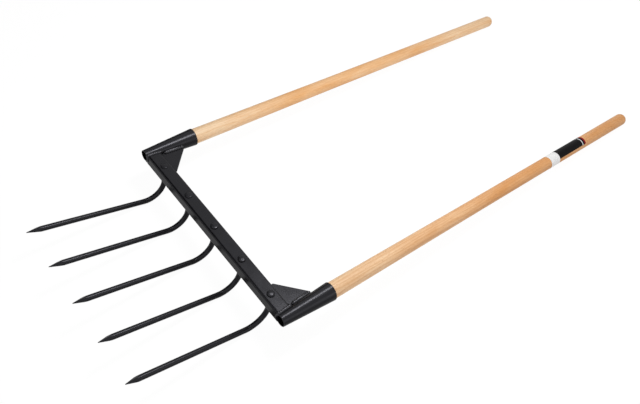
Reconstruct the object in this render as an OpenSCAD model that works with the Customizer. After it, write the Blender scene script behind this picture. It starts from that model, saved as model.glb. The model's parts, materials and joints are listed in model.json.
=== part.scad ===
// Broadfork, a two-handled garden fork. Round tines are riveted through a square
// hollow crossbar, and a conical socket at each end of the bar holds a wooden handle.
//
// The tool is drawn in axes of its own: X along the crossbar, Y towards the handle
// ends, Z up, with zero at the centre of the crossbar's top face. laid_down() then
// puts it as it rests on the ground, on the heels of its tines and its handle ends,
// with zero on the ground under the middle of the tool.

/* [Crossbar] */
// Width of the crossbar from front to back
bar_w = 32; // [28:0.5:42]
// Height of the crossbar
bar_h = 28; // [26:0.5:40]
// Wall thickness of the crossbar
bar_wall = 3; // [2:0.25:4]
// Outside radius of the crossbar's long corners
bar_corner = 5; // [3:0.25:7]
// How far each end of the crossbar laps round the socket it is coped to
bar_lap = 4; // [2:0.25:6]

/* [Tines] */
// Distance between neighbouring tines
tine_pitch = 100; // [80:1:120]
// Distance from an outer tine to the axis of the socket beside it
tine_margin = 56; // [48:0.5:80]
// Diameter of a tine's round shank and bend
tine_d = 12; // [10:0.25:16]
// How much slimmer the blade is drawn than the bend
blade_draw = 0.2; // [0.1:0.05:3]
// How far the root of a blade runs into its bend
blade_root = 1; // [0.5:0.1:1.5]
// Straight shank below the crossbar, before the bend
shank_drop = 19; // [6:0.5:40]
// Radius of the bend, to the middle of the steel
bend_r = 43; // [30:0.5:70]
// Rise of the blades above the plane of the handles, in degrees
tine_rake = 12.5; // [4:0.25:20]
// Reach of the tips in front of the shanks
tine_reach = 315; // [220:1:400]
// Length of the ground point
point_len = 30; // [20:0.5:50]
// Width left at the very tip
tip_w = 1.2; // [0.8:0.1:3]

/* [Rivets] */
// Diameter of the tenon that passes through the crossbar's top wall
tenon_d = 8.5; // [6:0.25:8.75]
// Diameter of the hammered head
rivet_d = 17; // [12:0.25:20]
// Height of the hammered head
rivet_h = 4; // [2.5:0.25:5.5]
// Height of the rounded crown of the head, above its upright rim
rivet_crown = 1.5; // [0.8:0.1:2.4]

/* [Sockets] */
// Length of the conical socket
socket_len = 127; // [110:1:170]
// Outside diameter of the socket at its mouth, where the handle goes in
mouth_d = 40.5; // [38:0.5:46]
// Outside diameter of the socket at its toe
toe_d = 26; // [25:0.5:32]
// Wall thickness of the socket
socket_wall = 2; // [1.25:0.25:3]
// How far the toe stands in front of the crossbar's front face
toe_lead = 1; // [0:0.5:8]
// Depth of the socket's axis below the crossbar's top face
socket_drop = 9; // [7:0.25:12]

/* [Handles] */
// Distance from the crossbar's middle to the free end of a handle
handle_reach = 1188; // [950:1:1400]
// Depth of the open hollow left at the toe of the socket
toe_hollow = 28; // [15:1:45]
// Length beyond the socket over which the handle slims down
swell_len = 400; // [200:5:480]
// Diameter of the handle where the swell ends
shaft_d = 33; // [30:0.1:35]
// Diameter of the straight grip
grip_d = 32; // [28:0.1:35]
// Length of the straight grip, rounding not counted
grip_len = 170; // [100:1:195]
// Radius of the rounding on the free end
end_round = 13; // [6:0.25:13.5]

/* [Gussets] */
// Length of the gusset along the crossbar
gusset_bar_leg = 62; // [45:1:80]
// Length of the gusset along the socket
gusset_socket_leg = 56; // [42:1:80]
// Thickness of the gusset plate
gusset_t = 5; // [2.5:0.25:7]
// Depth of the gusset's upper face below the crossbar's top face
gusset_drop = 5; // [1:0.25:8]
// Length of the gusset's clipped inner corner along the crossbar
gusset_clip = 9; // [8:0.5:20]
// Length of the gusset's clipped inner corner along the socket
clip_rise = 6; // [6:0.5:14]
// Width of the blunt ends of the gusset's long edge
gusset_nose = 4.5; // [3:0.5:12]

/* [Welds and screws] */
// Radius of the weld beads that run straight
bead_r = 3; // [2.25:0.25:4]
// How far the middle of a gusset's bead stands proud of the corner it fills
bead_proud = 0.8; // [0.2:0.1:1.5]
// Radius of the weld beads down the front and back of the crossbar
arc_bead_r = 2.5; // [1.5:0.1:2.8]
// How far those beads run on below the socket's axis, in degrees
arc_bead_run = 50; // [20:1:60]
// Distance from the socket's mouth back to the handle screw
screw_inset = 30; // [18:0.5:50]
// Diameter of the handle screw's shank
screw_d = 4.5; // [3.5:0.25:6]
// Length of the handle screw's shank, from the outside of the socket
screw_len = 22; // [15:0.5:28]
// Diameter of the handle screw's head
screw_head_d = 9; // [7.5:0.25:12]
// Height of the handle screw's head
screw_head_h = 3; // [2:0.25:4]

/* [Label] */
// Bare wood between the dark panel and the straight grip
panel_gap = 20; // [5:1:100]
// Length of the dark panel
panel_len = 115; // [50:1:160]
// Part of the way round the handle that the dark panel covers, in degrees
panel_wrap = 220; // [120:5:330]
// Where the dark panel starts, in degrees up from level on the outer side
panel_start = 36; // [0:1:80]
// Length of the white band
band_len = 35; // [15:1:60]
// Thickness of the label
label_t = 0.3; // [0.2:0.05:0.6]
// Thickness of the glue under the label
glue_t = 0.12; // [0.1:0.01:0.2]

/* [Fits] */
// Radial clearance round tenons, shanks and screws in their holes
hole_gap = 0.1; // [0.05:0.01:0.3]
// Clearance between the handle and the inside of its socket
socket_gap = 0.1; // [0.05:0.01:0.3]

/* [Hidden] */
$fn = 96;
TINES = 5;
LEFT = -1;
RIGHT = 1;

black_paint = [0.13, 0.13, 0.14];
bare_bead = [0.17, 0.17, 0.18];
pale_wood = [0.86, 0.68, 0.45];
zinc = [0.62, 0.63, 0.65];
white_paper = [0.93, 0.93, 0.92];
dark_film = [0.07, 0.06, 0.07];

// Crossbar and sockets
socket_x = (TINES - 1) / 2 * tine_pitch + tine_margin;
toe_y = -bar_w / 2 - toe_lead;
mouth_y = toe_y + socket_len;
function socket_r(y) = (toe_d + (mouth_d - toe_d) * (y - toe_y) / socket_len) / 2;
bar_end = socket_x - socket_r(0) + bar_lap;

// Half width of the socket at a height over its axis
function socket_half(y, height) = sqrt(socket_r(y) * socket_r(y) - height * height);

// Inside corners of the crossbar
least_corner = 0.5;
inner_corner = max(bar_corner - bar_wall, least_corner);

// Tines
shank_end = bar_h + shank_drop;
bend_turn = 90 + tine_rake;
blade_d = tine_d - blade_draw;
blade_len = (tine_reach - bend_r * (1 + sin(tine_rake))) / cos(tine_rake);
tip_z = -shank_end - bend_r * cos(tine_rake) + blade_len * sin(tine_rake);
function tine_x(k) = (k - (TINES + 1) / 2) * tine_pitch;

// Handles
butt_y = toe_y + toe_hollow;
grip_end = handle_reach - end_round;
grip_start = grip_end - grip_len;
swell_end = mouth_y + swell_len;
function bored_r(y) = socket_r(y) - socket_wall - socket_gap;

// Radius of the bare wood: a swell out of the socket, a slow taper, then the grip
function taper(y, y0, r0, y1, r1) = r0 + (r1 - r0) * (y - y0) / (y1 - y0);
function wood_r(y) = y < swell_end
    ? taper(y, mouth_y, bored_r(mouth_y), swell_end, shaft_d / 2)
    : taper(min(y, grip_start), swell_end, shaft_d / 2, grip_start, grip_d / 2);

// Gussets, measured on the right-hand side
corner_y = bar_w / 2;
function flank_x(y) = socket_x - socket_half(y, socket_drop - gusset_drop);
corner_x = flank_x(corner_y);
gusset_x = corner_x - gusset_bar_leg;
gusset_y = corner_y + gusset_socket_leg;

// Label
panel_end = grip_start - panel_gap;
panel_y = panel_end - panel_len;
band_y = panel_y - band_len;

// Screws
screw_y = mouth_y - screw_inset;

// Rest on the ground: a line under the heels of the tines and the rounded handle ends
heel_r = bend_r + tine_d / 2;
rest_dy = grip_end + bend_r;
rest_dz = shank_end - socket_drop - grip_d / 2 + end_round;
rest_tilt = asin((end_round - heel_r) / norm([rest_dy, rest_dz])) - atan2(rest_dz, rest_dy);
rest_lift = heel_r + bend_r * sin(rest_tilt) + shank_end * cos(rest_tilt);
front_y = -tine_reach * cos(rest_tilt) - tip_z * sin(rest_tilt);
back_y = handle_reach * cos(rest_tilt) + socket_drop * sin(rest_tilt);

// Puts the tool down on the ground
module laid_down() {
    translate([0, -(front_y + back_y) / 2, rest_lift]) rotate([rest_tilt, 0, 0]) children();
}

// Works in the axes of one socket: Z along it towards the handle, Y down
module in_socket(side) {
    translate([side * socket_x, 0, -socket_drop]) rotate([-90, 0, 0]) children();
}

// Works at a handle screw, in the axes of its socket: Z down along the screw
module at_screw() {
    translate([0, 0, screw_y]) rotate([-90, 0, 0]) children();
}

// Draws the right-hand piece, or its mirror image on the left
module handed(side) {
    if (side == LEFT) mirror([1, 0, 0]) children();
    else children();
}

// A square with round corners, standing under the line of its upper edge
module rounded_section(w, h, r) {
    translate([0, -h / 2]) {
        square([w - 2 * r, h], center = true);
        square([w, h - 2 * r], center = true);
        for (x = [-1, 1], y = [-1, 1]) translate([x * (w / 2 - r), y * (h / 2 - r)]) circle(r);
    }
}

// The crossbar's outside, from one end to the other
module bar_outside(half_len) {
    rotate([90, 0, 90]) linear_extrude(2 * half_len, center = true) rounded_section(bar_w, bar_h, bar_corner);
}

// The socket's outside as a full cone, run on in front of its toe where asked
module socket_outside(side, lead = 0) {
    in_socket(side) translate([0, 0, toe_y - lead])
        cylinder(h = socket_len + lead, r1 = socket_r(toe_y - lead), r2 = mouth_d / 2);
}

// A straight bead with round ends, between two points
module bead(from, to) {
    run = to - from;
    translate(from) rotate([0, acos(run[2] / norm(run)), atan2(run[1], run[0])]) {
        cylinder(h = norm(run), r = bead_r);
        sphere(bead_r);
        translate([0, 0, norm(run)]) sphere(bead_r);
    }
}

module crossbar() {
    color(black_paint) laid_down() difference() {
        bar_outside(bar_end);
        translate([0, 0, -bar_wall]) rotate([90, 0, 90])
            linear_extrude(2 * bar_end + 1, center = true)
                rounded_section(bar_w - 2 * bar_wall, bar_h - 2 * bar_wall, inner_corner);
        for (k = [1 : TINES]) translate([tine_x(k), 0, 0]) {
            translate([0, 0, -bar_h / 2]) cylinder(h = bar_h, d = tenon_d + 2 * hole_gap);
            translate([0, 0, -1.5 * bar_h]) cylinder(h = bar_h, d = tine_d + 2 * hole_gap);
        }
        for (side = [LEFT, RIGHT]) socket_outside(side);
    }
}

// A wedge that narrows to the tip, turned about the point's axis
module point_wedge(turn) {
    rotate([0, 0, turn]) rotate([90, 0, 0]) linear_extrude(2 * blade_d, center = true)
        polygon([[-blade_d / 2, 0], [blade_d / 2, 0], [tip_w / 2, point_len], [-tip_w / 2, point_len]]);
}

// The ground point: a round bar cut by four flats that leave a ridge on top
module tine_point() {
    intersection() {
        cylinder(h = point_len, d = blade_d);
        point_wedge(45);
        point_wedge(135);
    }
}

module tine(k) {
    head_r = (rivet_d * rivet_d / 4 + rivet_crown * rivet_crown) / (2 * rivet_crown);
    color(black_paint) laid_down() translate([tine_x(k), 0, 0]) {
        intersection() {
            translate([0, 0, rivet_h - head_r]) sphere(head_r);
            cylinder(h = rivet_h, d = rivet_d);
        }
        translate([0, 0, -bar_wall]) cylinder(h = bar_wall, d = tenon_d);
        translate([0, 0, -shank_end]) cylinder(h = shank_end - bar_wall, d = tine_d);
        translate([0, -bend_r, -shank_end]) rotate([-90, 0, 90]) {
            rotate_extrude(angle = bend_turn) translate([bend_r, 0]) circle(d = tine_d);
            rotate([0, 0, bend_turn]) translate([bend_r, 0, 0]) rotate([-90, 0, 0]) {
                translate([0, 0, -blade_root]) cylinder(h = blade_root + blade_len - point_len, d = blade_d);
                translate([0, 0, blade_len - point_len]) tine_point();
            }
        }
    }
}

module socket(side) {
    toe_r = toe_d / 2;
    mouth_r = mouth_d / 2;
    color(black_paint) laid_down() in_socket(side) difference() {
        translate([0, 0, toe_y]) rotate_extrude()
            polygon([[toe_r - socket_wall, 0], [toe_r, 0], [mouth_r, socket_len],
                [mouth_r - socket_wall, socket_len]]);
        at_screw() cylinder(h = mouth_d, d = screw_d + 2 * hole_gap);
    }
}

// The gusset's triangle with clipped corners, run on into the crossbar and the socket
module gusset_plate(side) {
    clip_x = corner_x - gusset_clip;
    clip_y = corner_y + clip_rise;
    root_y = corner_y - bar_corner;
    nose_x = flank_x(gusset_y) - gusset_nose;
    nose_y = corner_y + gusset_nose;
    handed(side) translate([0, 0, -gusset_drop - gusset_t]) linear_extrude(gusset_t)
        polygon([[gusset_x, root_y], [clip_x, root_y], [clip_x, corner_y], [corner_x, clip_y],
            [socket_x, clip_y], [socket_x, gusset_y], [nose_x, gusset_y], [gusset_x, nose_y]]);
}

module gusset(side) {
    color(black_paint) laid_down() difference() {
        gusset_plate(side);
        bar_outside(bar_end);
        socket_outside(side);
    }
}

// Bead round the socket where it passes one face of the crossbar
module arc_bead(y) {
    from = asin(socket_drop / socket_r(y));
    translate([socket_x, y, -socket_drop]) rotate([90, 0, 0]) rotate([0, 0, 180 - from])
        rotate_extrude(angle = from + arc_bead_run) translate([socket_r(y), 0]) circle(arc_bead_r);
}

// Bead along the crossbar's top edge and down its front and back, against the socket
module bar_weld(side) {
    function lip(y) = [socket_x - socket_half(y, socket_drop), y, 0];
    color(bare_bead) laid_down() difference() {
        handed(side) {
            bead(lip(-corner_y), lip(corner_y));
            arc_bead(-corner_y);
            arc_bead(corner_y);
        }
        bar_outside(bar_end);
        socket_outside(side, 2 * bead_r);
    }
}

// Bead along the gusset's upper face, against the socket
module gusset_weld(side) {
    from_y = corner_y + clip_rise + bead_r;
    to_y = gusset_y - bead_r;
    over_z = bead_proud - gusset_drop;
    color(bare_bead) laid_down() difference() {
        handed(side) bead([flank_x(from_y) - bead_proud, from_y, over_z],
            [flank_x(to_y) - bead_proud, to_y, over_z]);
        gusset_plate(side);
        socket_outside(side);
    }
}

// Bead under the gusset, against the back of the crossbar
module brace_weld(side) {
    under_z = -gusset_drop - gusset_t - bead_proud;
    behind_y = corner_y + bead_proud;
    color(bare_bead) laid_down() difference() {
        handed(side) bead([gusset_x + bead_r, behind_y, under_z],
            [corner_x - gusset_clip - bead_r, behind_y, under_z]);
        gusset_plate(side);
        bar_outside(bar_end);
    }
}

module handle(side) {
    grip_r = grip_d / 2;
    color(pale_wood) laid_down() in_socket(side) difference() {
        rotate_extrude() intersection() {
            union() {
                polygon([[0, butt_y], [bored_r(butt_y), butt_y], [bored_r(mouth_y), mouth_y],
                    [shaft_d / 2, swell_end], [grip_r, grip_start], [grip_r, grip_end],
                    [grip_r - end_round, grip_end], [grip_r - end_round, handle_reach], [0, handle_reach]]);
                translate([grip_r - end_round, grip_end]) circle(end_round);
            }
            translate([0, butt_y]) square([mouth_d, handle_reach - butt_y]);
        }
        at_screw() translate([0, 0, socket_r(screw_y) - screw_len - hole_gap])
            cylinder(h = mouth_d, d = screw_d + 2 * hole_gap);
    }
}

// Screw from below: a domed head against the socket and a shank into the wood
module handle_screw(side) {
    seat = socket_r(screw_y);
    dome_r = (screw_head_d * screw_head_d / 4 + screw_head_h * screw_head_h) / (2 * screw_head_h);
    color(zinc) laid_down() {
        in_socket(side) at_screw() translate([0, 0, seat - screw_len])
            cylinder(h = screw_len + screw_head_h / 2, d = screw_d);
        difference() {
            in_socket(side) at_screw() intersection() {
                translate([0, 0, seat + screw_head_h - dome_r]) sphere(dome_r);
                cylinder(h = seat + screw_head_h, d = screw_head_d);
            }
            socket_outside(side);
        }
    }
}

// A wrap of label round a handle, between two places along it
module label_wrap(from, to, wrap) {
    stops = concat(from, [for (y = [swell_end, grip_start]) if (from < y && y < to) y], to);
    last = len(stops) - 1;
    inner = [for (y = stops) [wood_r(y) + glue_t, y]];
    outer = [for (i = [last : -1 : 0]) [wood_r(stops[i]) + glue_t + label_t, stops[i]]];
    rotate_extrude(angle = wrap) polygon(concat(inner, outer));
}

module label_band() {
    color(white_paper) laid_down() in_socket(RIGHT) label_wrap(band_y, panel_y, 360);
}

module label_panel() {
    color(dark_film) laid_down() in_socket(RIGHT) rotate([0, 0, -panel_start - panel_wrap])
        label_wrap(panel_y, panel_end, panel_wrap);
}

crossbar();
for (k = [1 : TINES]) tine(k);
socket(LEFT);  // socket_left
socket(RIGHT);  // socket_right
gusset(LEFT);  // gusset_left
gusset(RIGHT);  // gusset_right
bar_weld(LEFT);  // bar_weld_left
bar_weld(RIGHT);  // bar_weld_right
gusset_weld(LEFT);  // gusset_weld_left
gusset_weld(RIGHT);  // gusset_weld_right
brace_weld(LEFT);  // brace_weld_left
brace_weld(RIGHT);  // brace_weld_right
handle(LEFT);  // handle_left
handle(RIGHT);  // handle_right
handle_screw(LEFT);  // handle_screw_left
handle_screw(RIGHT);  // handle_screw_right
label_band();
label_panel();
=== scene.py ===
"""Broadfork on a white studio floor.

Five round tines are riveted through a hollow crossbar. A conical socket is welded to each end of the bar,
braced by a gusset, and holds a long turned handle. Everything is modelled in the tool's own axes (X along the
crossbar, Y towards the handle ends, Z up, zero at the centre of the crossbar's top face) and then laid down
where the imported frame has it.
"""
import json
import logging
import math
from dataclasses import dataclass
from enum import Enum
from typing import Callable, Sequence

import bmesh
import bpy
from bpy.types import Material, Node, NodeSocket, NodeTree, Object
from mathutils import Matrix, Vector


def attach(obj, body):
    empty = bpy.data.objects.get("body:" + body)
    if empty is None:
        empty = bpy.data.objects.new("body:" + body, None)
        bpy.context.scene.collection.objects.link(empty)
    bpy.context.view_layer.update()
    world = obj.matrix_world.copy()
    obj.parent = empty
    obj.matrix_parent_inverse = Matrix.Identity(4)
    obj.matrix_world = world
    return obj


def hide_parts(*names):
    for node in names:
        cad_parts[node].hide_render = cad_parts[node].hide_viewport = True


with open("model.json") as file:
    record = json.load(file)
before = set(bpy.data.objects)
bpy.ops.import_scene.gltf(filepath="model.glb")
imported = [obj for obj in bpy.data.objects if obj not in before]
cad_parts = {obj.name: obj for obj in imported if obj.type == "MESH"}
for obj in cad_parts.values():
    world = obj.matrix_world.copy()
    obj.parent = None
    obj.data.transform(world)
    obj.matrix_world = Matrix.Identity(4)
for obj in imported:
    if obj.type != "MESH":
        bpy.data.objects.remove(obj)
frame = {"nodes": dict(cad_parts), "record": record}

Colour = tuple[float, float, float, float]
Place = tuple[float, float, float]
Profile = list[tuple[float, float]]

LOG = logging.getLogger("broadfork")
MM = 0.001
BODY = "root"
ALONG = Vector((0, 1, 0))
DOWN = Vector((0, 0, -1))


class Side(Enum):
    """One of the two ends of the crossbar."""

    LEFT = -1
    RIGHT = 1

    @property
    def word(self) -> str:
        """The side as it stands in node names."""
        return self.name.lower()

    @property
    def mirror(self) -> Matrix:
        """The move that takes a piece of the right-hand end to this side."""
        return Matrix.Diagonal((self.value, 1, 1, 1))


class Slot(Enum):
    """The record's material slots."""

    PAINT = "black_paint"
    WELD = "painted_weld"
    WOOD = "pale_wood"
    ZINC = "zinc_steel"
    WHITE = "white_label"
    DARK = "dark_label"


@dataclass(frozen=True)
class ToolAxes:
    """The tool's own axes inside the row frame, read from the record's mounts."""

    half_pitch: float = 50 * MM
    bar_height: float = 28 * MM

    def matrix(self) -> Matrix:
        """Work out the move from the tool's axes to the row frame.

        Returns:
            A rigid 4 by 4 matrix.
        """
        mounts = {m["name"]: m for m in frame["record"]["mounts"]}
        along = Vector(mounts["left_grip"]["axis"]).normalized()
        up = -Vector(mounts["rack_face"]["axis"]).normalized()
        across = along.cross(up)
        turn = Matrix((across, along, up)).transposed().to_4x4()
        rack = Vector(mounts["rack_face"]["pos_m"])
        origin = rack + up * self.bar_height - across * self.half_pitch
        return Matrix.Translation(origin) @ turn


TOOL = ToolAxes().matrix()


def spaced(first: float, last: float, steps: int) -> list[float]:
    """Values at even steps from the first to the last, both included."""
    return [first + (last - first) * k / steps for k in range(steps + 1)]


def cap_depth(r: float, rim_r: float, height: float) -> float:
    """How far a domed cap lies under its crown at a radius."""
    ball = (rim_r ** 2 + height ** 2) / (2 * height)
    return ball - math.sqrt(ball ** 2 - r ** 2)


class Bench:
    """Modelling moves on one mesh at a time, made with Blender's own operators."""

    SAME_POINT = 0.002 * MM
    ON_PLANE = 0.001 * MM

    @staticmethod
    def clear() -> None:
        """Go back to object mode with nothing selected."""
        if bpy.context.object and bpy.context.object.mode != "OBJECT":
            bpy.ops.object.mode_set(mode="OBJECT")
        bpy.ops.object.select_all(action="DESELECT")

    @staticmethod
    def take(obj: Object) -> None:
        """Make one object the only one selected, and active.

        Args:
            obj: The object.
        """
        Bench.clear()
        obj.select_set(True)
        bpy.context.view_layer.objects.active = obj

    @staticmethod
    def settle() -> None:
        """Move the active object's place, turn and scale into its mesh."""
        bpy.ops.object.transform_apply(location=True, rotation=True, scale=True)

    @staticmethod
    def select(mode: str, action: str = "SELECT") -> None:
        """Work on corners, edges or faces, and select or drop all of them."""
        bpy.ops.mesh.select_mode(type=mode)
        bpy.ops.mesh.select_all(action=action)

    @staticmethod
    def face_out() -> None:
        """Turn every face of the mesh in hand outwards."""
        Bench.select("VERT")
        bpy.ops.mesh.normals_make_consistent(inside=False)

    @staticmethod
    def _open(name: str) -> Object:
        """Name the new primitive, settle it and edit it.

        Args:
            name: The piece's name.

        Returns:
            The object, in edit mode with everything selected.
        """
        obj = bpy.context.object
        obj.name = name
        Bench.settle()
        bpy.ops.object.mode_set(mode="EDIT")
        Bench.select("VERT")
        return obj

    @staticmethod
    def block(name: str, low: Vector, high: Vector) -> Object:
        """Start a piece from a block between two corners.

        Args:
            name: The piece's name.
            low: The lowest corner.
            high: The highest corner.

        Returns:
            The object, in edit mode with everything selected.
        """
        Bench.clear()
        bpy.ops.mesh.primitive_cube_add(size=1, location=(low + high) / 2, scale=high - low)
        return Bench._open(name)

    @staticmethod
    def lathe(start: Vector, along: Vector, profile: Profile) -> None:
        """Carry the selected ring through a turned profile.

        Args:
            start: The point on the axis from which distances count.
            along: The axis, of length one.
            profile: Pairs of distance and radius; the first is the ring itself.
        """
        for (d0, r0), (d1, r1) in zip(profile, profile[1:]):
            bpy.ops.mesh.extrude_region_move(TRANSFORM_OT_translate={"value": along * (d1 - d0)})
            bpy.ops.transform.resize(value=(r1 / r0,) * 3, center_override=start + along * d1)

    @staticmethod
    def turn(name: str, sides: int, start: Vector, along: Vector, profile: Profile) -> Object:
        """Turn a piece from a profile, open at both ends.

        Args:
            name: The piece's name.
            sides: How many sides it has.
            start: The point on the axis from which distances count.
            along: The axis, of length one.
            profile: Pairs of distance and radius.

        Returns:
            The object, in edit mode with its last ring selected.
        """
        Bench.clear()
        first, radius = profile[0]
        bpy.ops.mesh.primitive_circle_add(
            vertices=sides, radius=radius, fill_type="NOTHING", location=start + along * first,
            rotation=along.to_track_quat("Z", "Y").to_euler())
        obj = Bench._open(name)
        Bench.lathe(start, along, profile)
        return obj

    @staticmethod
    def slice_off(point: Vector, outward: Vector) -> None:
        """Cut what is selected along the plane through a point, drop the outward side and close the cut."""
        bpy.ops.mesh.bisect(
            plane_co=point, plane_no=outward.normalized(), use_fill=True, clear_outer=True,
            threshold=Bench.ON_PLANE)

    @staticmethod
    def pick(obj: Object, mode: str, test: Callable[[Vector, Vector], bool]) -> None:
        """Select corners or faces by place.

        Args:
            obj: The object in edit mode.
            mode: VERT or FACE.
            test: Says whether an item with this middle and this normal is wanted.
        """
        Bench.select(mode, "DESELECT")
        mesh = bmesh.from_edit_mesh(obj.data)
        if mode == "VERT":
            for v in mesh.verts:
                v.select = test(v.co, v.normal)
        else:
            for f in mesh.faces:
                f.select = test(f.calc_center_median(), f.normal)
        mesh.select_flush_mode()
        bmesh.update_edit_mesh(obj.data)

    @staticmethod
    def close() -> None:
        """Merge doubles, close every open ring and turn the faces outwards."""
        Bench.select("VERT")
        bpy.ops.mesh.remove_doubles(threshold=Bench.SAME_POINT)
        bpy.ops.mesh.fill_holes(sides=0)
        Bench.face_out()

    @staticmethod
    def modify(obj: Object, kind: str, **settings: object) -> None:
        """Add a modifier to the piece and apply it.

        Args:
            obj: The piece.
            kind: The modifier's type.
            settings: The modifier's properties.
        """
        Bench.take(obj)
        modifier = obj.modifiers.new(kind.title(), kind)
        for key, value in settings.items():
            setattr(modifier, key, value)
        bpy.ops.object.modifier_apply(modifier=modifier.name)

    @staticmethod
    def dent(obj: Object, size: float, depth: float, level: float, **settings: object) -> None:
        """Make a piece uneven with soft dents and lumps.

        Args:
            obj: The piece.
            size: How wide the dents are.
            depth: How deep they are.
            level: The share of the depth that goes inwards.
            settings: More properties of the modifier.
        """
        dents = bpy.data.textures.new(obj.name + " dents", "CLOUDS")
        dents.noise_scale = size
        Bench.modify(obj, "DISPLACE", texture=dents, texture_coords="LOCAL", strength=depth, mid_level=level,
                     **settings)

    @staticmethod
    def carve(obj: Object, cutter: Object) -> None:
        """Cut a shape away from a piece and throw the shape away."""
        Bench.modify(obj, "BOOLEAN", object=cutter, operation="DIFFERENCE", solver="EXACT")
        bpy.data.objects.remove(cutter)

    @staticmethod
    def ease(obj: Object, width: float, limit: float, segments: int) -> None:
        """Round off the edges of the piece that are sharper than a limit in degrees."""
        Bench.modify(obj, "BEVEL", width=width, segments=segments, limit_method="ANGLE",
                     angle_limit=math.radians(limit))

    @staticmethod
    def shade(obj: Object, angle: float) -> None:
        """Shade the piece smoothly, except across edges sharper than an angle in degrees."""
        Bench.take(obj)
        bpy.ops.object.shade_smooth_by_angle(angle=math.radians(angle))

    @staticmethod
    def twin(obj: Object, move: Matrix) -> Object:
        """Copy a piece with its own mesh and move the copy.

        Args:
            obj: The piece to copy.
            move: The copy's move, which may mirror it.

        Returns:
            The copy, with its place in its mesh.
        """
        copy = obj.copy()
        copy.data = obj.data.copy()
        bpy.context.scene.collection.objects.link(copy)
        Bench.take(copy)
        copy.matrix_world = move
        Bench.settle()
        if move.is_negative:
            bpy.ops.object.mode_set(mode="EDIT")
            Bench.face_out()
            bpy.ops.object.mode_set(mode="OBJECT")
        return copy


def hand_over(obj: Object, node: str, how: str, finish: Material) -> None:
    """Lay a finished piece down, name and dress it and let it stand for its node.

    Args:
        obj: The piece, still in the tool's axes.
        node: The node that it stands for.
        how: How it is made, which ends its name.
        finish: Its material.
    """
    Bench.take(obj)
    obj.matrix_world = TOOL
    Bench.settle()
    obj.name = f"{node}_{how}"
    obj.data.name = obj.name
    obj.data.materials.clear()
    obj.data.materials.append(finish)
    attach(obj, BODY)
    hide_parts(node)
    LOG.info("piece %s: %d faces", obj.name, len(obj.data.polygons))


def set_both(pattern: Object, node: str, how: str, finishes: dict[Side, Material]) -> None:
    """Set copies of a right-hand piece at both ends of the bar and hand them over.

    Args:
        pattern: The piece, which is thrown away.
        node: The nodes' name, without the side.
        how: How the pieces are made.
        finishes: The material for each side.
    """
    for side in Side:
        hand_over(Bench.twin(pattern, side.mirror), f"{node}_{side.word}", how, finishes[side])
    bpy.data.objects.remove(pattern)


class Wiring:
    """A node tree, with short ways to add nodes and links to it."""

    def __init__(self, tree: NodeTree) -> None:
        """Take a tree in hand."""
        self.tree = tree

    def join(self, value: object, socket: NodeSocket) -> None:
        """Link an output to a socket, or write a plain value on it.

        Args:
            value: The output or the value.
            socket: The socket.
        """
        if isinstance(value, NodeSocket):
            self.tree.links.new(value, socket)
        else:
            socket.default_value = value

    def node(self, kind: str, inputs: dict[str | int, object], **settings: object) -> Node:
        """Add a node.

        Args:
            kind: The node's type, without the leading words.
            inputs: Values or links for its sockets, by name or number.
            settings: Its own properties.

        Returns:
            The node.
        """
        node = self.tree.nodes.new("ShaderNode" + kind)
        for key, value in settings.items():
            setattr(node, key, value)
        for key, value in inputs.items():
            self.join(value, node.inputs[key])
        return node

    def by_ray(self, light: float, seen: float, mirrored: float) -> NodeSocket | float:
        """Give one value to rays that light the object and others to rays that show the background.

        Args:
            light: The value for rays that light the object.
            seen: The value for camera and transmission rays.
            mirrored: The value for glossy rays.

        Returns:
            The value for the ray at hand.
        """
        path = self.node("LightPath", {})
        value: NodeSocket | float = light
        rays = {"Is Glossy Ray": mirrored, "Is Transmission Ray": seen, "Is Camera Ray": seen}
        for ray, wanted in rays.items():
            value = self.node("Mix", {0: path.outputs[ray], 2: value, 3: wanted}).outputs[0]
        return value


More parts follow.
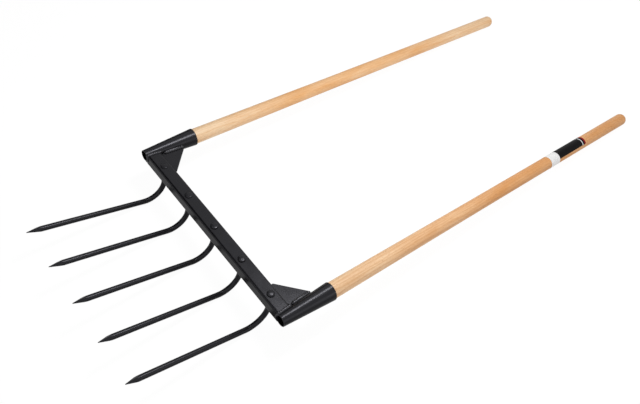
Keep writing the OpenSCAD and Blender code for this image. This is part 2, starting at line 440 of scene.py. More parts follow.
class Sheet(Wiring):
    """A material with one Principled shader."""

    def __init__(self, name: str) -> None:
        """Start a material with a bare Principled shader.

        Args:
            name: The material's name.
        """
        self.material = bpy.data.materials.new(name)
        self.material.use_nodes = True
        super().__init__(self.material.node_tree)
        self.surface = self.tree.nodes["Principled BSDF"]
        self.place = self.node("TexCoord", {}).outputs["Object"]

    def turned(self, tilt: float, finer: float = 1.0) -> NodeSocket:
        """Object coordinates, laid level with the handles and then stretched along them.

        Args:
            tilt: The handles' slope in radians.
            finer: How many times finer the pattern is along the handles than across them.

        Returns:
            The coordinates.
        """
        level = self.node("Mapping", {"Vector": self.place, "Rotation": (-tilt, 0, 0)})
        stretch = self.node("Mapping", {"Vector": level.outputs["Vector"], "Scale": (1, finer, 1)})
        return stretch.outputs["Vector"]

    def length(self, tilt: float) -> NodeSocket:
        """The place along the handles."""
        return self.node("SeparateXYZ", {"Vector": self.turned(tilt)}).outputs["Y"]

    def noise(self, where: NodeSocket, scale: float, detail: float = 2.0, rough: float = 0.5,
              warp: float = 0.0) -> NodeSocket:
        """A noise pattern from 0 to 1, with so many patches in a metre."""
        inputs = {"Vector": where, "Scale": scale, "Detail": detail, "Roughness": rough, "Distortion": warp}
        return self.node("TexNoise", inputs).outputs["Fac"]

    def ramp(self, value: NodeSocket, span: Sequence[float], result: Sequence[float]) -> NodeSocket:
        """Stretch a span of a pattern over a range of results, held at both ends."""
        inputs = {"Value": value, "From Min": span[0], "From Max": span[1], "To Min": result[0],
                  "To Max": result[1]}
        return self.node("MapRange", inputs, clamp=True).outputs["Result"]

    def mix(self, share: object, first: object, second: object) -> NodeSocket:
        """Blend two colours by the second one's share."""
        return self.node("Mix", {0: share, 6: first, 7: second}, data_type="RGBA").outputs[2]

    def over(self, base: object, colour: Colour, pattern: NodeSocket, span: Sequence[float],
             most: float = 1.0) -> NodeSocket:
        """Lay a colour over another where a pattern rises through a span, up to a share."""
        return self.mix(self.ramp(pattern, span, (0, most)), base, colour)

    def sum(self, first: object, second: object) -> NodeSocket:
        """Add two patterns."""
        return self.node("Math", {0: first, 1: second}, operation="ADD").outputs[0]

    def bump(self, height: NodeSocket, depth: float) -> None:
        """Raise the surface by a pattern that goes from 0 to 1, to a depth in metres."""
        node = self.node("Bump", {"Height": height, "Distance": depth, "Strength": 1.0})
        self.join(node.outputs["Normal"], self.surface.inputs["Normal"])

    def set(self, **values: object) -> None:
        """Write values or links on the surface, with low lines for spaces in the sockets' names."""
        for key, value in values.items():
            self.join(value, self.surface.inputs[key.replace("_", " ")])


@dataclass(frozen=True)
class PaintFinish:
    """Black paint, sprayed semi-gloss, with a fine skin, faint dust and small scuffs."""

    name: str = "black paint"
    black: Colour = (0.0042, 0.0041, 0.005, 1)
    worn: Colour = (0.0095, 0.0095, 0.01, 1)
    cool: Colour = (0.91, 0.91, 1.0, 1)
    gloss: float = 0.23
    dull: float = 0.33
    shine: float = 0.27
    skin: float = 0.006 * MM
    lumps: float = 0.032 * MM

    def material(self) -> Material:
        """Mix the paint.

        Returns:
            The material.
        """
        sheet = Sheet(self.name)
        cloud = sheet.noise(sheet.place, 34, detail=4, rough=0.55)
        dust = sheet.noise(sheet.place, 620, detail=3, rough=0.6)
        scuff = sheet.noise(sheet.place, 150, detail=6, rough=0.7, warp=0.6)
        specked = sheet.over(self.black, self.worn, dust, (0.66, 0.74), 0.7)
        satin = sheet.ramp(cloud, (0.3, 0.7), (self.gloss, self.dull))
        rubbed = sheet.ramp(scuff, (0.6, 0.75), (0, 0.06))
        sheet.set(
            Base_Color=sheet.over(specked, self.worn, scuff, (0.62, 0.72), 0.55),
            Roughness=sheet.sum(satin, rubbed),
            Specular_IOR_Level=self.shine,
            Specular_Tint=self.cool)
        peel = sheet.ramp(sheet.noise(sheet.place, 900), (0.2, 0.8), (0, 0.5))
        swell = sheet.ramp(sheet.noise(sheet.place, 120), (0.2, 0.8), (0, self.lumps / self.skin / 2))
        sheet.bump(sheet.sum(peel, swell), self.skin)
        return sheet.material


@dataclass(frozen=True)
class WoodFinish:
    """Turned pale hardwood under thin varnish: long grain, short flecks and a slow change of tone.

    The shares say how warm, and so how dark, the wood is at the socket, in the middle and at the free end.
    This change along the handle is partly the wood's own tone and partly painted light and shade: paler at
    the socket end, near the lamp over the tool's head, and darker further along. It warms between the first
    two stops and changes again between the last two, in metres along the handle.
    """

    name: str
    tilt: float
    pale: Colour
    warm: Colour
    dark: Colour
    fleck: Colour
    shares: tuple[float, float, float]
    stops: tuple[float, float, float, float]

    def material(self) -> Material:
        """Mix the wood.

        Returns:
            The material.
        """
        sheet = Sheet(self.name)
        length = sheet.length(self.tilt)
        socket_end, middle, free_end = self.shares
        # Warmth along the handle: partly the wood's own tone, partly painted light and shade, paler near the
        # lamp over the head.
        first = sheet.ramp(length, self.stops[:2], (socket_end, middle))
        warmth_and_shade = sheet.sum(first, sheet.ramp(length, self.stops[2:], (0, free_end - middle)))
        tone = sheet.noise(sheet.turned(self.tilt, 0.2), 42, detail=4, rough=0.55, warp=0.4)
        figure = {"Vector": sheet.turned(self.tilt, 0.075), "Scale": 55, "Distortion": 7.0, "Detail": 3.0,
                  "Detail Scale": 1.6, "Detail Roughness": 0.55}
        rings = sheet.node("TexWave", figure, wave_type="BANDS", bands_direction="X").outputs["Fac"]
        strands = sheet.noise(sheet.turned(self.tilt, 0.02), 900, detail=3, rough=0.6)
        pores = sheet.noise(sheet.turned(self.tilt, 0.11), 1500, detail=1, rough=0.4)
        rays = sheet.noise(sheet.turned(self.tilt, 0.13), 420, warp=0.3)
        wood = sheet.mix(sheet.sum(sheet.ramp(tone, (0.3, 0.7), (-0.2, 0.3)), warmth_and_shade), self.pale, self.warm)
        wood = sheet.over(wood, self.dark, rings, (0.45, 1.0), 0.34)
        wood = sheet.over(wood, self.dark, strands, (0.5, 0.75), 0.3)
        wood = sheet.over(wood, self.dark, rays, (0.64, 0.74), 0.5)
        sheet.set(
            Base_Color=sheet.over(wood, self.fleck, pores, (0.66, 0.73), 0.55),
            Roughness=sheet.ramp(strands, (0.3, 0.7), (0.4, 0.54)),
            Specular_IOR_Level=0.4)
        furrows = sheet.ramp(strands, (0.3, 0.7), (0.35, 0))
        pits = sheet.ramp(pores, (0.64, 0.74), (0.65, 0))
        sheet.bump(sheet.sum(furrows, pits), 0.08 * MM)
        return sheet.material


@dataclass(frozen=True)
class ZincFinish:
    """Zinc plate on small screws: bright grey with a cloudy bloom."""

    name: str = "zinc plate"
    bright: Colour = (0.62, 0.62, 0.64, 1)
    cloudy: Colour = (0.45, 0.46, 0.47, 1)

    def material(self) -> Material:
        """Mix the plating.

        Returns:
            The material.
        """
        sheet = Sheet(self.name)
        bloom = sheet.noise(sheet.place, 700, detail=4, rough=0.6, warp=0.5)
        sheet.set(
            Base_Color=sheet.over(self.bright, self.cloudy, bloom, (0.35, 0.7)),
            Roughness=sheet.ramp(bloom, (0.3, 0.7), (0.28, 0.46)),
            Metallic=1.0)
        sheet.bump(sheet.noise(sheet.place, 4000), 0.02 * MM)
        return sheet.material


@dataclass(frozen=True)
class BandFinish:
    """Plain white label paper with a satin face and faint fibres."""

    name: str = "white label"
    white: Colour = (0.82, 0.82, 0.815, 1)
    shade: Colour = (0.72, 0.72, 0.72, 1)

    def material(self) -> Material:
        """Mix the paper.

        Returns:
            The material.
        """
        sheet = Sheet(self.name)
        fibre = sheet.noise(sheet.place, 1600, detail=4, rough=0.65, warp=0.8)
        cloud = sheet.noise(sheet.place, 60, detail=3)
        grey = sheet.sum(sheet.ramp(fibre, (0.45, 0.75), (0, 0.4)), sheet.ramp(cloud, (0.4, 0.7), (0, 0.3)))
        sheet.set(
            Base_Color=sheet.mix(grey, self.white, self.shade),
            Roughness=sheet.ramp(fibre, (0.3, 0.7), (0.42, 0.6)),
            Specular_IOR_Level=0.4)
        sheet.bump(fibre, 0.03 * MM)
        return sheet.material


@dataclass(frozen=True)
class PanelFinish:
    """Glossy printed film: black, with a thin white line and a red edge at its far end."""

    tilt: float
    line_from: float = 970.5 * MM
    line_to: float = 973 * MM
    red_from: float = 979.5 * MM
    soft: float = 0.4 * MM
    name: str = "dark label"
    black: Colour = (0.004, 0.0035, 0.004, 1)
    soft_black: Colour = (0.008, 0.0073, 0.008, 1)
    white: Colour = (0.8, 0.8, 0.8, 1)
    red: Colour = (0.26, 0.006, 0.014, 1)

    def edge(self, place: float) -> tuple[float, float]:
        """Where a soft printed edge starts and ends."""
        return place - self.soft, place + self.soft

    def material(self) -> Material:
        """Print the film.

        Returns:
            The material.
        """
        sheet = Sheet(self.name)
        origin = TOOL.translation
        start = -origin.y * math.cos(self.tilt) - origin.z * math.sin(self.tilt)
        length = sheet.sum(sheet.length(self.tilt), start)
        rise = sheet.ramp(length, self.edge(self.line_from), (0, 1))
        fall = sheet.ramp(length, self.edge(self.line_to), (1, 0))
        line = sheet.node("Math", {0: rise, 1: fall}, operation="MINIMUM").outputs[0]
        grain = sheet.noise(sheet.place, 1200, detail=3, rough=0.6)
        handling = sheet.noise(sheet.place, 90, detail=5, rough=0.65, warp=0.7)
        ink = sheet.over(self.black, self.soft_black, grain, (0.4, 0.7))
        edged = sheet.over(ink, self.red, length, self.edge(self.red_from))
        sheet.set(
            Base_Color=sheet.mix(line, edged, self.white),
            Roughness=sheet.ramp(handling, (0.35, 0.7), (0.24, 0.4)),
            Specular_IOR_Level=0.04)
        sheet.bump(handling, 0.05 * MM)
        return sheet.material


@dataclass(frozen=True)
class Crossbar:
    """The hollow crossbar, whose CAD shape is kept and painted."""

    node: str = "crossbar"

    def dress(self, paint: Material) -> None:
        """Paint the node.

        Args:
            paint: The paint.
        """
        obj = frame["nodes"][self.node]
        obj.data.materials.clear()
        obj.data.materials.append(paint)
        LOG.info("node %s kept and painted", obj.name)


@dataclass(frozen=True)
class TineRow:
    """Five equal tines: a hammered head, a tenon, a shank, a bend, a blade and a ground point."""

    count: int = 5
    pitch: float = 100 * MM
    sides: int = 40
    shank_r: float = 6 * MM
    shank_end: float = 47 * MM
    bar_wall: float = 3 * MM
    bend_r: float = 43 * MM
    bend_steps: int = 28
    rake: float = math.radians(12.5)
    reach: float = 315 * MM
    blade_r: float = 5.9 * MM
    blade_lead: float = 3 * MM
    point_len: float = 30 * MM
    flats: int = 4
    tip_r: float = 0.6 * MM
    tenon_r: float = 4.25 * MM
    head_r: float = 8.5 * MM
    head_h: float = 4 * MM
    crown_h: float = 1.5 * MM
    crown_steps: int = 8
    shoulder_r: float = 1.6 * MM
    shoulder_steps: int = 4
    rim_share: float = 0.8
    undercut: float = 0.96
    dent_size: float = 4 * MM
    dent_depth: float = 0.5 * MM
    dent_level: float = 0.62
    beaten: tuple[float, ...] = (0.5, 0.65, 0.85, 1.0, 1.0)

    def head_profile(self) -> Profile:
        """The head, tenon and shank, from the crown down.

        Returns:
            Pairs of depth under the crown and radius.
        """
        flat_r = self.head_r - self.shoulder_r
        spread = spaced(0, flat_r, self.crown_steps)[1:]
        profile = [(cap_depth(r, self.head_r, self.crown_h), r) for r in spread]
        edge = profile[-1][0]
        for angle in spaced(0, math.pi / 2, self.shoulder_steps)[1:]:
            depth = edge + self.shoulder_r * (1 - math.cos(angle))
            profile.append((depth, flat_r + self.shoulder_r * math.sin(angle)))
        neck = self.head_h + self.bar_wall
        return profile + [
            (self.head_h * self.rim_share, self.head_r), (self.head_h, self.head_r * self.undercut),
            (self.head_h, self.tenon_r), (neck, self.tenon_r),
            (neck, self.shank_r), (self.head_h + self.shank_end, self.shank_r)]

    def model(self) -> Object:
        """Model one tine in the tool's axes, at the middle of the bar.

        Returns:
            The tine.
        """
        obj = Bench.turn("tine", self.sides, Vector((0, 0, self.head_h)), DOWN, self.head_profile())
        pivot = Vector((0, -self.bend_r, -self.shank_end))
        turn = math.pi / 2 + self.rake
        bpy.ops.mesh.spin(steps=self.bend_steps, dupli=False, angle=turn, center=pivot, axis=(1, 0, 0))
        forward = Vector((0, -math.cos(self.rake), math.sin(self.rake)))
        root = pivot + Vector((0, math.cos(turn), -math.sin(turn))) * self.bend_r
        blade = (self.reach - self.bend_r * (1 + math.sin(self.rake))) / math.cos(self.rake)
        shoulder = blade - self.point_len
        stops = (self.blade_lead, shoulder / 3, shoulder * 2 / 3, shoulder, blade)
        Bench.lathe(root, forward, [(0, self.shank_r)] + [(stop, self.blade_r) for stop in stops])
        Bench.close()
        self.grind(obj, root + forward * blade, forward)
        Bench.close()
        self.hammer(obj)
        Bench.shade(obj, angle=32)
        return obj

    def grind(self, obj: Object, tip: Vector, forward: Vector) -> None:
        """Grind four flats on the end of the blade.

        Args:
            obj: The tine in edit mode.
            tip: The middle of the tip.
            forward: The blade's direction.
        """
        across = Vector((1, 0, 0))
        above = across.cross(forward)
        slope = math.atan2(self.blade_r - self.tip_r, self.point_len)
        behind = -self.point_len - 0.1 * MM
        for k in range(self.flats):
            angle = 2 * math.pi * (k + 0.5) / self.flats
            out = across * math.cos(angle) + above * math.sin(angle)
            Bench.pick(obj, "VERT", lambda co, no: (co - tip).dot(forward) > behind)
            Bench.slice_off(tip + out * self.tip_r, out * math.cos(slope) + forward * math.sin(slope))

    def hammer(self, obj: Object) -> None:
        """Beat a few shallow dents into the head.

        Args:
            obj: The tine in edit mode.
        """
        bpy.ops.object.mode_set(mode="OBJECT")
        above = 0.4 * MM
        group = obj.vertex_groups.new(name="head")
        group.add([v.index for v in obj.data.vertices if v.co.z > above], 1.0, "REPLACE")
        Bench.dent(obj, self.dent_size, self.dent_depth, self.dent_level, vertex_group=group.name)
        obj.vertex_groups.clear()

    def beat(self, obj: Object, share: float) -> None:
        """Beat a tine's head down to a share of its height.

        Args:
            obj: The tine.
            share: The share of the head's height that is left.
        """
        above = 0.1 * MM
        bpy.ops.object.mode_set(mode="EDIT")
        Bench.pick(obj, "VERT", lambda co, no: co.z > above)
        bpy.ops.transform.resize(value=(1, 1, share), center_override=(0, 0, 0))
        bpy.ops.object.mode_set(mode="OBJECT")

    def build(self, paint: Material) -> None:
        """Model the tine once and set five of them in the bar.

        Args:
            paint: Their finish.
        """
        pattern = self.model()
        for k in range(1, self.count + 1):
            place = (k - (self.count + 1) / 2) * self.pitch
            tine = Bench.twin(pattern, Matrix.Translation((place, 0, 0)))
            self.beat(tine, self.beaten[k - 1])
            hand_over(tine, f"tine_{k}", "forged", paint)
        bpy.data.objects.remove(pattern)


@dataclass(frozen=True)
class SocketEnds:
    """Both ends of the bar: a conical socket, its gusset and the weld beads that join them.

    Each piece is modelled once, for the right-hand end, and copied to both.
    """

    bar_half: float = 16 * MM
    socket_x: float = 256 * MM
    drop: float = 9 * MM
    length: float = 127 * MM
    toe_lead: float = 1 * MM
    toe_r: float = 13 * MM
    mouth_r: float = 20.25 * MM
    wall: float = 2 * MM
    sides: int = 96
    stretches: int = 6
    plug_lead: float = 11.1 * MM
    rim_ease: float = 0.45 * MM
    gusset_leg_x: float = 62 * MM
    gusset_leg_y: float = 56 * MM
    gusset_t: float = 5 * MM
    gusset_drop: float = 5 * MM
    gusset_clip: float = 9 * MM
    clip_rise: float = 6 * MM
    gusset_nose: float = 4.5 * MM
    gusset_ease: float = 0.5 * MM
    sink: float = 0.5 * MM
    bead_r: float = 3.7 * MM
    bead_sides: int = 16
    bead_ends: tuple[tuple[float, float], ...] = ((0.75, 0.3), (0.5, 0.66))
    bead_proud: float = 0.8 * MM
    top_in: float = 1.6 * MM
    top_sink: float = 0.3 * MM
    fillet_r: float = 4.5 * MM
    fillet_in: float = 2.0 * MM
    fillet_up: float = 0.3 * MM
    arc_r: float = 2.8 * MM
    arc_run: float = math.radians(50)
    arc_end: float = 0.5
    ripple_len: float = 4.6 * MM
    wave: tuple[float, ...] = (0.82, 0.99, 1.05, 0.97)
    sway: float = 0.05
    sway_step: float = 1.7
    lump_size: float = 3 * MM
    lump_depth: float = 0.9 * MM

    @property
    def toe_y(self) -> float:
        """Where the socket starts, in front of the bar."""
        return -self.bar_half - self.toe_lead

    @property
    def axis(self) -> Vector:
        """The point of the socket's axis level with the middle of the bar."""
        return Vector((self.socket_x, 0, -self.drop))

    def radius(self, y: float) -> float:
        """The socket's outside radius at a place along it."""
        return self.toe_r + (self.mouth_r - self.toe_r) * (y - self.toe_y) / self.length

    def flank(self, y: float, depth: float) -> float:
        """The X of the socket's inner flank, at a place along it and a depth under the bar's top face."""
        return self.socket_x - math.sqrt(self.radius(y) ** 2 - (self.drop - depth) ** 2)

    def socket(self) -> Object:
        """Roll the socket: a tapered tube with eased rims.

        Returns:
            The socket.
        """
        stops = spaced(self.toe_y, self.toe_y + self.length, self.stretches)
        obj = Bench.turn("socket", self.sides, self.axis, ALONG, [(y, self.radius(y)) for y in stops])
        Bench.face_out()
        Bench.modify(obj, "SOLIDIFY", thickness=self.wall, offset=-1.0, use_even_offset=True, use_rim=True)
        Bench.ease(obj, self.rim_ease, limit=50, segments=3)
        Bench.shade(obj, angle=12)
        return obj

    def gusset(self) -> Object:
        """Shear the gusset from plate and ease its edges.

        Returns:
            The gusset.
        """
        corner_y = self.bar_half
        corner_x = self.flank(corner_y, self.gusset_drop)
        far_x = corner_x - self.gusset_leg_x
        far_y = corner_y + self.gusset_leg_y
        nose_x = self.flank(far_y, self.gusset_drop) - self.gusset_nose
        clip_y = corner_y + self.clip_rise
        long_edge = Vector((nose_x - far_x, far_y - corner_y - self.gusset_nose, 0))
        near = Vector((self.flank(clip_y, self.gusset_drop) + self.sink, clip_y, 0))
        far = Vector((self.flank(far_y, self.gusset_drop) + self.sink, far_y, 0))
        low = Vector((far_x, corner_y - self.sink, -self.gusset_drop - self.gusset_t))
        high = Vector((corner_x + self.sink, far_y, -self.gusset_drop))
        obj = Bench.block("gusset", low, high)
        for point, outward in (
                (Vector((nose_x, far_y, 0)), Vector((-long_edge.y, long_edge.x, 0))),
                (Vector((corner_x, clip_y, 0)), Vector((self.clip_rise, -self.gusset_clip, 0))),
                (near, Vector((far.y - near.y, near.x - far.x, 0)))):
            Bench.select("VERT")
            Bench.slice_off(point, outward)
        Bench.close()
        Bench.ease(obj, self.gusset_ease, limit=25, segments=3)
        Bench.shade(obj, angle=12)
        return obj

    def ripple(self, k: int, radius: float) -> float:
        """The bead's radius at one of its rings."""
        return radius * self.wave[k % len(self.wave)] * (1 + self.sway * math.sin(self.sway_step * k))

    def rings(self, run: float) -> int:
        """How many rings a bead of this length has, in whole ripples."""
        return len(self.wave) * round(run / self.ripple_len)

    def bead(self, start: Vector, end: Vector, radius: float) -> Object:
        """Lay a straight rippled bead.

        Args:
            start: Where its middle starts.
            end: Where its middle ends.
            radius: Its radius.

        Returns:
            The bead.
        """
        run = (end - start).length
        rings = self.rings(run)
        crater = [(-reach * radius, width * radius) for reach, width in self.bead_ends]
        body = [(run / rings * k, self.ripple(k, radius)) for k in range(rings + 1)]
        tail = [(run + reach * radius, width * radius) for reach, width in reversed(self.bead_ends)]
        obj = Bench.turn("bead", self.bead_sides, start, (end - start).normalized(), crater + body + tail)
        Bench.close()
        return obj

    def arc(self, y: float) -> Object:
        """Lay a rippled bead down the side of the socket, on one face of the bar.

        Args:
            y: Where the face stands.

        Returns:
            The bead.
        """
        round_r = self.radius(y)
        centre = self.axis + ALONG * y
        first = math.asin(self.drop / round_r)
        turn = first + self.arc_run
        rings = self.rings(turn * round_r)
        step = turn / rings
        now = self.ripple(0, self.arc_r)
        spot = centre + Vector((-math.cos(first), 0, math.sin(first))) * round_r
        along = Vector((-math.sin(first), 0, -math.cos(first)))
        obj = Bench.turn("bead", self.bead_sides, spot, along, [(0, now)])
        for k in range(1, rings + 1):
            bpy.ops.mesh.spin(steps=1, dupli=False, angle=step, center=centre, axis=ALONG)
            angle = first - step * k
            spot = centre + Vector((-math.cos(angle), 0, math.sin(angle))) * round_r
            fresh = self.ripple(k, self.arc_r) * (1.0 if k < rings else self.arc_end)
            bpy.ops.transform.resize(value=(fresh / now,) * 3, center_override=spot)
            now = fresh
        Bench.close()
        return obj

    def plug(self) -> Object:
        """Fill the socket to just under its outer face, and past its toe.

        Returns:
            The filling.
        """
        ends = (self.toe_y - self.plug_lead, self.toe_y + self.length)
        profile = [(y, self.radius(y) - self.sink) for y in ends]
        obj = Bench.turn("plug", self.sides, self.axis, ALONG, profile)
        Bench.close()
        return obj

    def joined(self, beads: Sequence[Object], on_socket: bool) -> Object:
        """Make beads uneven, trim them to the socket and join them into one piece.

        Args:
            beads: The beads.
            on_socket: Whether they lie against the socket.

        Returns:
            The piece.
        """
        for bead in beads:
            Bench.dent(bead, self.lump_size, self.lump_depth, level=0.5)
            if on_socket:
                Bench.carve(bead, self.plug())
        obj = beads[0]
        Bench.take(obj)
        for bead in beads:
            bead.select_set(True)
        if len(beads) > 1:
            bpy.ops.object.join()
        Bench.shade(obj, angle=60)
        return obj

    def bar_weld(self) -> Object:
        """Lay the bead round the end of the bar: over its top and down its front and back.

        Returns:
            The weld.
        """
        faces = (-self.bar_half, self.bar_half)
        front, back = [Vector((self.flank(y, 0) - self.top_in, y, -self.top_sink)) for y in faces]
        top = self.bead(front, back, self.bead_r)
        return self.joined([top, *map(self.arc, faces)], on_socket=True)

    def gusset_weld(self) -> Object:
        """Lay the bead on top of the gusset, against the socket.

        Returns:
            The weld.
        """
        first = self.bar_half + self.clip_rise + self.bead_r
        last = self.bar_half + self.gusset_leg_y - self.bead_r
        height = self.fillet_up - self.gusset_drop
        start, end = [
            Vector((self.flank(y, self.gusset_drop) - self.fillet_in, y, height)) for y in (first, last)]
        return self.joined([self.bead(start, end, self.fillet_r)], on_socket=True)

    def brace_weld(self) -> Object:
        """Lay the bead under the gusset, against the back of the bar.

        Returns:
            The weld.
        """
        corner_x = self.flank(self.bar_half, self.gusset_drop)
        depth = -self.gusset_drop - self.gusset_t - self.bead_proud
        y = self.bar_half + self.bead_proud
        start = Vector((corner_x - self.gusset_leg_x + self.bead_r, y, depth))
        end = Vector((corner_x - self.gusset_clip - self.bead_r, y, depth))
        return self.joined([self.bead(start, end, self.bead_r)], on_socket=False)

    def build(self, paint: Material, weld: Material) -> None:
        """Model each piece once and set it at both ends of the bar.

        Args:
            paint: The finish of sockets and gussets.
            weld: The finish of the beads.
        """
        plates = (self.socket, self.gusset)
        for make in plates + (self.bar_weld, self.gusset_weld, self.brace_weld):
            slot, finish = (Slot.PAINT, paint) if make in plates else (Slot.WELD, weld)
            set_both(make(), make.__name__, "made", dict.fromkeys(Side, finish))


@dataclass(frozen=True)
class Handles:
    """The turned handles and the screws that hold them, modelled once for the right-hand end."""

    socket_x: float = 256 * MM
    drop: float = 9 * MM
    butt_y: float = 11 * MM
    butt_r: float = 12.499 * MM
    butt_chamfer: float = 0.5 * MM
    mouth_y: float = 110 * MM
    mouth_r: float = 18.15 * MM
    swell_end: float = 510 * MM
    shaft_r: float = 16.5 * MM
    grip_start: float = 1005 * MM
    grip_end: float = 1175 * MM
    grip_r: float = 16 * MM
    end_round: float = 13 * MM
    sides: int = 72
    shaft_steps: int = 24
    end_steps: int = 10
    screw_y: float = 80 * MM
    screw_seat: float = 18.54 * MM
    screw_sunk: float = 0.4 * MM
    screw_r: float = 2.25 * MM
    screw_len: float = 22 * MM
    screw_tip_len: float = 4 * MM
    screw_tip_share: float = 0.3
    screw_sides: int = 36
    screw_head_r: float = 4.5 * MM
    screw_head_h: float = 3 * MM
    screw_rim_share: float = 0.98
    dome_share: float = 0.8
    dome_steps: int = 7
    cross_arm: float = 2.6 * MM
    cross_web: float = 0.45 * MM
    cross_depth: float = 1.5 * MM
    cross_taper: float = 0.5

    @property
    def axis(self) -> Vector:
        """The point of the handle's axis level with the middle of the bar."""
        return Vector((self.socket_x, 0, -self.drop))

    def radius(self, y: float) -> float:
        """The radius of the bare wood outside the socket.

        Args:
            y: The place along the handle.

        Returns:
            The radius.
        """
        if y < self.swell_end:
            share = (y - self.mouth_y) / (self.swell_end - self.mouth_y)
            return self.mouth_r + (self.shaft_r - self.mouth_r) * share
        share = min(1.0, (y - self.swell_end) / (self.grip_start - self.swell_end))
        return self.shaft_r + (self.grip_r - self.shaft_r) * share

    def shaft(self) -> Object:
        """Turn the handle from its butt in the socket to its rounded end.

        Returns:
            The handle.
        """
        eased_y = self.butt_y + self.butt_chamfer
        profile = [(self.butt_y, self.butt_r - self.butt_chamfer), (eased_y, self.butt_r)]
        profile += [(y, self.radius(y)) for y in spaced(self.mouth_y, self.grip_end, self.shaft_steps)]
        core = self.grip_r - self.end_round
        for angle in spaced(0, math.pi / 2, self.end_steps)[1:]:
            y = self.grip_end + self.end_round * math.sin(angle)
            profile.append((y, core + self.end_round * math.cos(angle)))
        obj = Bench.turn("shaft", self.sides, self.axis, ALONG, profile)
        Bench.close()
        Bench.shade(obj, angle=40)
        return obj

    def screw(self) -> Object:
        """Turn the screw and press a cross into its domed head.

        Returns:
            The screw.
        """
        seat = self.axis + ALONG * self.screw_y
        tip = self.screw_seat - self.screw_len
        base = self.screw_seat - self.screw_sunk
        top = self.screw_seat + self.screw_head_h
        dome = self.screw_head_h * self.dome_share
        profile = [
            (tip, self.screw_r * self.screw_tip_share), (tip + self.screw_tip_len, self.screw_r),
            (base, self.screw_r), (base, self.screw_head_r * self.screw_rim_share),
            (top - dome, self.screw_head_r)]
        for r in spaced(self.screw_head_r, 0, self.dome_steps)[1:-1]:
            profile.append((top - cap_depth(r, self.screw_head_r, dome), r))
        obj = Bench.turn("screw", self.screw_sides, seat, DOWN, profile)
        Bench.close()
        self.press_cross(obj, seat + DOWN * top)
        Bench.shade(obj, angle=35)
        return obj

    def press_cross(self, obj: Object, crown: Vector) -> None:
        """Cut a cross recess into the head.

        Args:
            obj: The screw.
            crown: The highest point of the head.
        """
        arm, web, depth = self.cross_arm, self.cross_web, self.cross_depth
        upright = 0.9
        for reach in (Vector((arm, web, depth)), Vector((web, arm, depth))):
            cutter = Bench.block("cutter", crown - reach, crown + reach)
            Bench.pick(cutter, "FACE", lambda co, no: no.z > upright)
            bpy.ops.transform.resize(value=(self.cross_taper, self.cross_taper, 1), center_override=crown)
            Bench.carve(obj, cutter)

    def build(self, woods: dict[Side, Material], zinc: Material) -> None:
        """Set the handles in their sockets and drive their screws."""
        set_both(self.shaft(), "handle", "turned", woods)
        set_both(self.screw(), "handle_screw", "driven", dict.fromkeys(Side, zinc))


@dataclass(frozen=True)
class Label:
    """The label on the right handle: a white band and a dark panel part of the way round."""

    handles: Handles
    band_y: float = 835 * MM
    panel_y: float = 870 * MM
    panel_end: float = 985 * MM
    panel_from: float = math.radians(36)
    panel_wrap: float = math.radians(220)
    gap: float = 0.2 * MM
    paper: float = 0.3 * MM
    glue: float = 0.12 * MM
    edge_ease: float = 0.08 * MM
    sides: int = 120
    band_rings: int = 4
    panel_rings: int = 8

    def outside(self, y: float) -> float:
        """The radius of the label's outer face."""
        return self.handles.radius(y) + self.glue + self.paper

    def tube(self, name: str, start: float, end: float, rings: int) -> Object:
        """Wrap paper all the way round the handle.

        Args:
            name: The piece's name.
            start: Where the paper starts along the handle.
            end: Where it ends.
            rings: How many rings of faces it has.

        Returns:
            The paper's outer face, in edit mode.
        """
        profile = [(y, self.outside(y)) for y in spaced(start, end, rings)]
        obj = Bench.turn(name, self.sides, self.handles.axis, ALONG, profile)
        Bench.face_out()
        return obj

    def thicken(self, obj: Object) -> None:
        """Give the paper its thickness and soften its cut edges.

        Args:
            obj: The paper.
        """
        Bench.modify(obj, "SOLIDIFY", thickness=self.paper, offset=-1.0, use_rim=True)
        Bench.ease(obj, self.edge_ease, limit=60, segments=2)
        Bench.shade(obj, angle=20)

    def trim(self, obj: Object) -> None:
        """Trim paper to the panel's part of the way round.

        Args:
            obj: The paper in edit mode.
        """
        axis = self.handles.axis

        def spare(co: Vector, no: Vector) -> bool:
            """Say whether a face lies outside the panel's part of the way round."""
            angle = math.atan2(co.z - axis.z, co.x - axis.x) - self.panel_from
            return angle % (2 * math.pi) > self.panel_wrap

        Bench.pick(obj, "FACE", spare)
        bpy.ops.mesh.delete(type="FACE")

    def build(self, white: Material, dark: Material) -> None:
        """Stick both parts of the label on.

        Args:
            white: The band's finish.
            dark: The panel's finish.
        """
        band = self.tube("band", self.band_y, self.panel_y - self.gap, self.band_rings)
        self.thicken(band)
        hand_over(band, "label_band", "wrapped", white)
        panel = self.tube("panel", self.panel_y, self.panel_end, self.panel_rings)
        self.trim(panel)
        self.thicken(panel)
        hand_over(panel, "label_panel", "wrapped", dark)


@dataclass(frozen=True)
class PhotoCamera:
    """The camera, solved from the photograph in the tool's axes."""

    position: Place = (0.747060, -0.561379, 1.144631)
    right: Place = (0.620526, 0.766886, 0.163812)
    down: Place = (0.648978, -0.384945, -0.656235)
    focal_px: float = 699.9
    image_px: float = 640.0
    sensor_mm: float = 36.0
    near: float = 0.05
    far: float = 100.0

    def build(self) -> None:
        """Set the camera up."""
        data = bpy.data.cameras.new("camera")
        data.sensor_fit = "HORIZONTAL"
        data.sensor_width = self.sensor_mm
        data.lens = self.focal_px * self.sensor_mm / self.image_px
        data.clip_start = self.near
        data.clip_end = self.far
        camera = bpy.data.objects.new("camera", data)
        bpy.context.scene.collection.objects.link(camera)
        right = Vector(self.right).normalized()
        up = -Vector(self.down).normalized()
        back = right.cross(up).normalized()
        turn = Matrix((right, up, back)).transposed().to_4x4()
        camera.matrix_world = TOOL @ Matrix.Translation(Vector(self.position)) @ turn
        bpy.context.scene.camera = camera
        LOG.info("camera set, lens %.2f mm", data.lens)


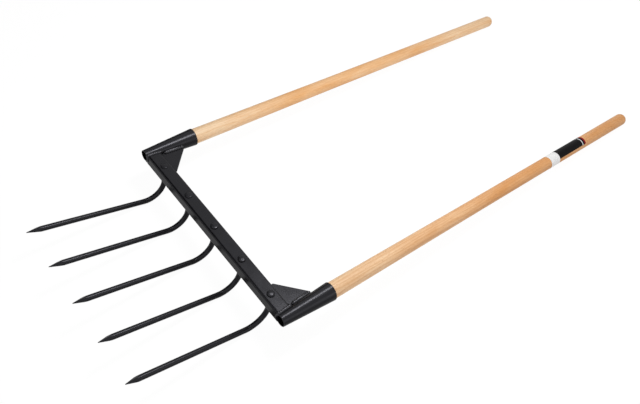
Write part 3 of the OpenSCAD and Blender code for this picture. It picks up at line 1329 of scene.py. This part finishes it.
@dataclass(frozen=True)
class Lamp:
    """A soft rectangular light out of the camera's sight."""

    name: str
    power: float
    size: tuple[float, float]
    place: Place
    aim: Place
    mirrored: bool = True

    def build(self) -> None:
        """Hang the light and turn it to the point that it faces."""
        data = bpy.data.lights.new(self.name, "AREA")
        data.shape = "RECTANGLE"
        data.size, data.size_y = self.size
        data.energy = self.power
        lamp = bpy.data.objects.new(self.name, data)
        lamp.location = self.place
        lamp.rotation_euler = (Vector(self.aim) - lamp.location).to_track_quat("-Z", "Y").to_euler()
        lamp.visible_camera = False
        lamp.visible_glossy = self.mirrored
        bpy.context.scene.collection.objects.link(lamp)


@dataclass(frozen=True)
class Card:
    """A matt black card beside the tool, out of the camera's sight, that darkens edges of the paint."""

    name: str
    place: Place
    size: tuple[float, float]
    aim: Place = (0.0, -0.43, 0.1)
    black: Colour = (0.004, 0.004, 0.004, 1)

    def build(self) -> None:
        """Stand the card and turn it to the point that it faces."""
        Bench.clear()
        bpy.ops.mesh.primitive_plane_add(size=1, location=self.place)
        card = bpy.context.object
        card.name = self.name
        card.scale = (*self.size, 1)
        card.rotation_euler = (Vector(self.aim) - card.location).to_track_quat("Z", "Y").to_euler()
        sheet = Sheet(self.name)
        sheet.set(Base_Color=self.black, Roughness=1.0, Specular_IOR_Level=0.0)
        card.data.materials.append(sheet.material)
        card.visible_camera = False
        card.visible_shadow = False


@dataclass(frozen=True)
class Studio:
    """A white floor and sky, soft lamps, and two dark cards that give black paint its dark edges."""

    floor_half: float = 8.0
    sky: float = 0.45
    white: float = 1.0
    floor_bounce: float = 0.95
    floor_albedo: float = 0.07
    floor_glow: float = 0.96
    floor_sheen: float = 0.45
    floor_fill: float = 0.32
    lamps: tuple[Lamp, ...] = (
        Lamp("key", 8.6, (0.26, 0.45), (-0.02, 0.1, 1.28), (0.0, -0.1, 0.0)),
        Lamp("key fill", 1.9, (0.38, 0.38), (-0.02, 0.1, 1.28), (0.0, -0.1, 0.0), False),
        Lamp("handle fill", 2.6, (1.0, 1.0), (0.0, 0.95, 1.3), (0.0, 0.65, 0.0), False),
        Lamp("side", 0.8, (0.25, 0.6), (1.5, 0.17, 0.68), (0.256, -0.38, 0.1)))
    cards: tuple[Card, ...] = (
        Card("front card", (-0.95, -0.95, 1.1), (1.8, 1.2)),
        Card("side card", (-1.9, -0.1, 0.45), (1.8, 0.9)))

    def world(self) -> None:
        """Hang a white sky that shows as plain white and lights softly."""
        world = bpy.data.worlds.new("studio")
        world.use_nodes = True
        wiring = Wiring(world.node_tree)
        back = wiring.tree.nodes["Background"]
        back.inputs["Color"].default_value = (1, 1, 1, 1)
        wiring.join(wiring.by_ray(self.sky, self.white, self.white), back.inputs["Strength"])
        bpy.context.scene.world = world

    def floor(self) -> None:
        """Lay the white floor, which keeps a faint shadow and is clear from below."""
        Bench.clear()
        bpy.ops.mesh.primitive_plane_add(size=2 * self.floor_half, location=(0, 0, 0))
        floor = bpy.context.object
        floor.name = "floor"
        sheet = Sheet("floor")
        sheet.tree.nodes.remove(sheet.surface)
        shade = sheet.by_ray(self.floor_bounce, self.floor_albedo, self.floor_albedo)
        glow = sheet.by_ray(self.floor_fill, self.floor_glow, self.floor_sheen)
        matt = sheet.node("BsdfDiffuse", {"Color": shade})
        light = sheet.node("Emission", {"Strength": glow})
        both = sheet.node("AddShader", {0: matt.outputs[0], 1: light.outputs[0]})
        clear = sheet.node("BsdfTransparent", {})
        below = sheet.node("NewGeometry", {}).outputs["Backfacing"]
        face = sheet.node("MixShader", {0: below, 1: both.outputs[0], 2: clear.outputs[0]})
        sheet.join(face.outputs[0], sheet.tree.nodes["Material Output"].inputs["Surface"])
        floor.data.materials.append(sheet.material)

    def build(self) -> None:
        """Set the studio up."""
        self.world()
        self.floor()
        for item in self.lamps + self.cards:
            item.build()
        bpy.context.scene.view_settings.view_transform = "Standard"
        LOG.info("studio set")


def main() -> None:
    """Build the broadfork, dress it and set the studio up round it."""
    logging.basicConfig(level=logging.INFO, format="%(message)s")
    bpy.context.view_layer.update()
    PhotoCamera().build()
    tilt = math.atan2(TOOL[2][1], TOOL[1][1])
    paint = PaintFinish().material()
    weld = PaintFinish(
        name="painted weld", black=(0.012, 0.012, 0.013, 1), gloss=0.2, dull=0.34, shine=0.6,
        skin=0.06 * MM, lumps=0.2 * MM).material()
    zinc = ZincFinish().material()
    # Each wood grows warmer and darker along its handle: partly its own tone, partly painted shade away from
    # the lamp over the head.
    woods = {
        Side.LEFT: WoodFinish(
            "pale wood left", tilt,
            pale=(0.86, 0.665, 0.445, 1), warm=(0.695, 0.355, 0.13, 1),
            dark=(0.65, 0.32, 0.12, 1), fleck=(0.50, 0.245, 0.09, 1),
            shares=(0.15, 0.75, 0.36), stops=(-0.32, -0.02, 0.36, 0.6)).material(),
        Side.RIGHT: WoodFinish(
            "pale wood right", tilt,
            pale=(0.875, 0.60, 0.358, 1), warm=(0.657, 0.309, 0.106, 1),
            dark=(0.57, 0.25, 0.08, 1), fleck=(0.415, 0.168, 0.053, 1),
            shares=(0.02, 0.38, 0.88), stops=(-0.3, -0.1, -0.06, 0.25)).material()}
    Crossbar().dress(paint)
    TineRow().build(paint)
    SocketEnds().build(paint, weld)
    handles = Handles()
    handles.build(woods, zinc)
    Label(handles).build(BandFinish().material(), PanelFinish(tilt).material())
    Studio().build()


if __name__ == "__main__":
    main()
